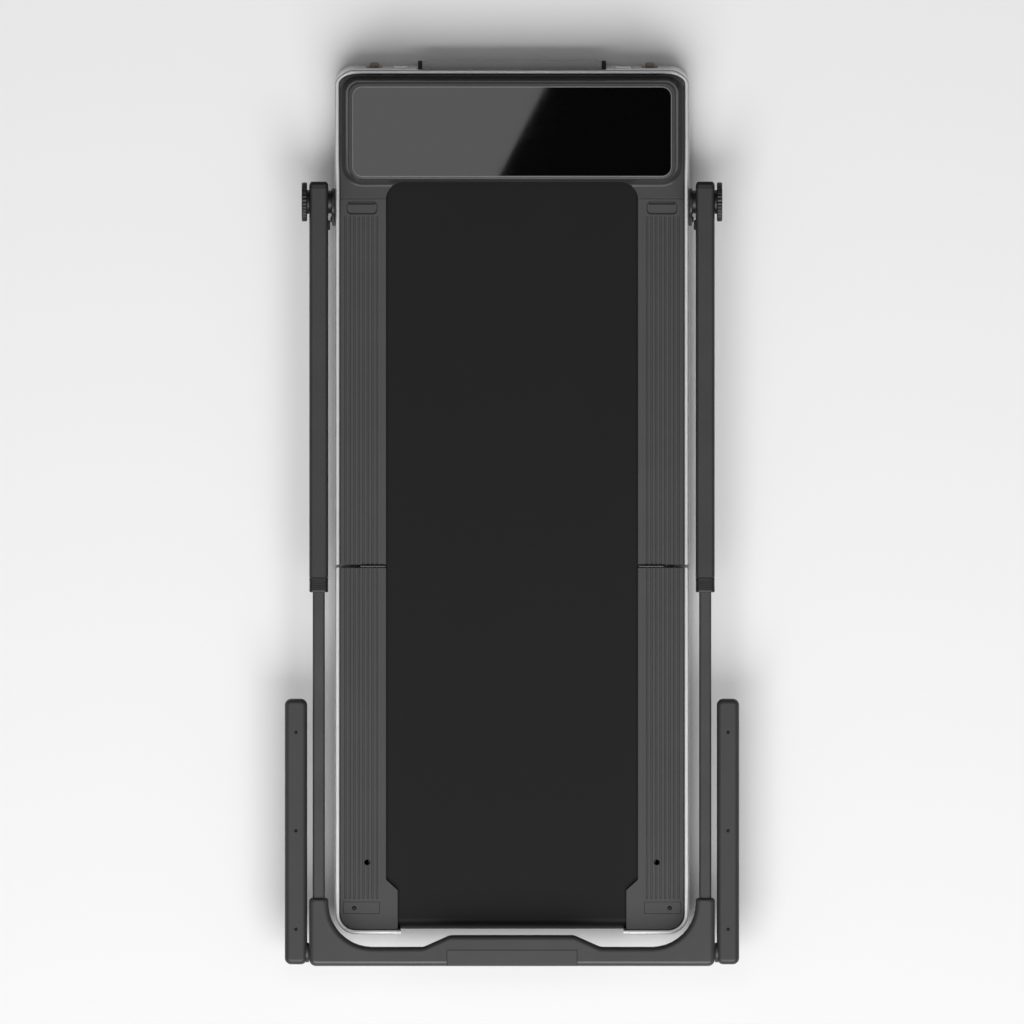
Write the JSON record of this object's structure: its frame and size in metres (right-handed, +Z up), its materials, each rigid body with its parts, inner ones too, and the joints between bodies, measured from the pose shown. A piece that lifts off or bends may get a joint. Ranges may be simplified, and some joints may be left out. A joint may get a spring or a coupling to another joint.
{
  "type": "folding walking treadmill",
  "caption": "Slim walking treadmill that folds double, with a telescopic handrail laid flat round its deck, folding armrests, a glossy display window and transport wheels.",
  "frame": {"origin": "on the floor under the middle of the open treadmill's outline, handrail included", "axes": "+X to the right of someone walking on it, +Y towards the motor end that the walker faces, +Z up"},
  "size_m": [0.7338, 1.4632, 0.1285],
  "materials": {
    "trim_aluminium": "satin anodised extrusion",
    "rail_plastic": "fine moulded texture, graphite grey",
    "hood_plastic": "satin moulded, graphite grey",
    "belt_fabric": "woven walking belt with a fine rubber surface",
    "black_rubber": "matt black rubber",
    "window_gloss": "black tinted window, polished",
    "tube_paint": "fine-textured powder coat, graphite grey",
    "black_plastic": "black moulded plastic",
    "bracket_paint": "black powder coat",
    "machined_steel": "turned and plated steel",
    "running_board": "dense fibreboard with a dark slip face",
    "circuit_board": "green laminate",
    "motor_paint": "dark enamel",
    "cast_alloy": "as-cast aluminium",
    "wheel_tread": "brown polyurethane tread"
  },
  "bodies": {
    "deck_front": {"frame_front": "bracket_paint", "deck_board_front": "running_board", "belt_front": "belt_fabric", "side_rail_front_left": "rail_plastic", "side_rail_front_right": "rail_plastic", "trim_front": "trim_aluminium", "bottom_cover_front": "bracket_paint", "hood": "hood_plastic", "display_window": "window_gloss", "display_board": "circuit_board", "motor": "motor_paint", "controller": "cast_alloy", "front_axle": "machined_steel", "drive_belt": "black_rubber", "standing_foot": "rail_plastic", "power_inlet": "black_plastic", "pivot_bracket_left": "bracket_paint", "pivot_bracket_right": "bracket_paint", "hinge_leaf_front_left": "machined_steel", "hinge_leaf_front_right": "machined_steel", "hinge_pin_left": "machined_steel", "hinge_pin_right": "machined_steel", "floor_runner_front_left": "black_rubber", "floor_runner_front_right": "black_rubber"},
    "front_roller": {"front_roller": "machined_steel"},
    "motor_rotor": {"motor_rotor": "machined_steel"},
    "power_switch": {"power_switch": "black_plastic"},
    "transport_wheel_left": {"transport_wheel_left": "wheel_tread"},
    "transport_wheel_right": {"transport_wheel_right": "wheel_tread"},
    "deck_rear": {"frame_rear": "bracket_paint", "deck_board_rear": "running_board", "belt_rear": "belt_fabric", "side_rail_rear_left": "rail_plastic", "side_rail_rear_right": "rail_plastic", "trim_rear_left": "trim_aluminium", "trim_rear_right": "trim_aluminium", "tension_cover_left": "rail_plastic", "tension_cover_right": "rail_plastic", "bottom_cover_rear": "bracket_paint", "rear_axle": "machined_steel", "hinge_leaf_rear_left": "machined_steel", "hinge_leaf_rear_right": "machined_steel", "floor_runner_rear_left": "black_rubber", "floor_runner_rear_right": "black_rubber"},
    "rear_roller": {"rear_roller": "machined_steel"},
    "uprights": {"outer_tube_left": "tube_paint", "outer_tube_right": "tube_paint", "tube_collar_left": "black_plastic", "tube_collar_right": "black_plastic"},
    "lock_knob_left": {"lock_knob_left": "black_plastic"},
    "lock_knob_right": {"lock_knob_right": "black_plastic"},
    "height_pin_left": {"height_pin_left": "black_plastic"},
    "height_pin_right": {"height_pin_right": "black_plastic"},
    "handrail_top": {"inner_tube_left": "tube_paint", "inner_tube_right": "tube_paint", "handlebar": "hood_plastic"},
    "armrest_left": {"armrest_left": "rail_plastic"},
    "armrest_right": {"armrest_right": "rail_plastic"},
    "device_rest": {"device_rest": "rail_plastic"},
    "speed_dial": {"speed_dial": "black_plastic"}
  },
  "joints": [
    {"name": "deck_fold", "type": "hinge", "parent": "deck_front", "child": "deck_rear", "pos_m": [0, -0.0859, 0.0645], "axis": [-1, 0, 0], "range_deg": [0, 180]},
    {"name": "front_roller_turn", "type": "hinge", "parent": "deck_front", "child": "front_roller", "pos_m": [0, 0.5541, 0.0375], "axis": [1, 0, 0], "continuous": true},
    {"name": "motor_turn", "type": "hinge", "parent": "deck_front", "child": "motor_rotor", "pos_m": [0, 0.6261, 0.048], "axis": [1, 0, 0], "continuous": true},
    {"name": "rear_roller_turn", "type": "hinge", "parent": "deck_rear", "child": "rear_roller", "pos_m": [0, -0.655, 0.0375], "axis": [1, 0, 0], "continuous": true},
    {"name": "switch_rock", "type": "hinge", "parent": "deck_front", "child": "power_switch", "pos_m": [-0.18, 0.7136, 0.032], "axis": [1, 0, 0], "range_deg": [0, 16]},
    {"name": "wheel_turn_left", "type": "hinge", "parent": "deck_front", "child": "transport_wheel_left", "pos_m": [-0.223, 0.7116, 0.022], "axis": [1, 0, 0], "continuous": true},
    {"name": "wheel_turn_right", "type": "hinge", "parent": "deck_front", "child": "transport_wheel_right", "pos_m": [0.223, 0.7116, 0.022], "axis": [1, 0, 0], "continuous": true},
    {"name": "handrail_swing", "type": "hinge", "parent": "deck_front", "child": "uprights", "pos_m": [0, 0.5025, 0.097], "axis": [-1, 0, 0], "range_deg": [0, 90]},
    {"name": "telescope_slide", "type": "slide", "parent": "uprights", "child": "handrail_top", "axis": [0, 1, 0], "range_m": [0, 0.487]},
    {"name": "knob_turn_left", "type": "hinge", "parent": "uprights", "child": "lock_knob_left", "pos_m": [-0.3315, 0.5025, 0.097], "axis": [1, 0, 0], "range_deg": [0, 360]},
    {"name": "height_pin_pull_left", "type": "slide", "parent": "uprights", "child": "height_pin_left", "axis": [0, 0, -1], "range_m": [0, 0.006], "stiffness_N_per_m": 500, "springref_m": -0.002},
    {"name": "armrest_swing_left", "type": "hinge", "parent": "handrail_top", "child": "armrest_left", "pos_m": [-0.3275, -0.7099, 0.097], "axis": [-1, 0, 0], "range_deg": [0, 90]},
    {"name": "knob_turn_right", "type": "hinge", "parent": "uprights", "child": "lock_knob_right", "pos_m": [0.3315, 0.5025, 0.097], "axis": [1, 0, 0], "range_deg": [0, 360]},
    {"name": "height_pin_pull_right", "type": "slide", "parent": "uprights", "child": "height_pin_right", "axis": [0, 0, -1], "range_m": [0, 0.006], "stiffness_N_per_m": 500, "springref_m": -0.002},
    {"name": "armrest_swing_right", "type": "hinge", "parent": "handrail_top", "child": "armrest_right", "pos_m": [0.3275, -0.7099, 0.097], "axis": [-1, 0, 0], "range_deg": [0, 90]},
    {"name": "device_rest_flip", "type": "hinge", "parent": "handrail_top", "child": "device_rest", "pos_m": [0, -0.7293, 0.118], "axis": [1, 0, 0], "range_deg": [0, 150]},
    {"name": "speed_dial_turn", "type": "hinge", "parent": "handrail_top", "child": "speed_dial", "pos_m": [0, -0.7064, 0.0737], "axis": [0, 0, -1], "continuous": true}
  ],
  "couplings": [
    {"joint": "motor_turn", "follows": "front_roller_turn", "ratio": 2.4737},
    {"joint": "rear_roller_turn", "follows": "front_roller_turn", "ratio": 1}
  ]
}
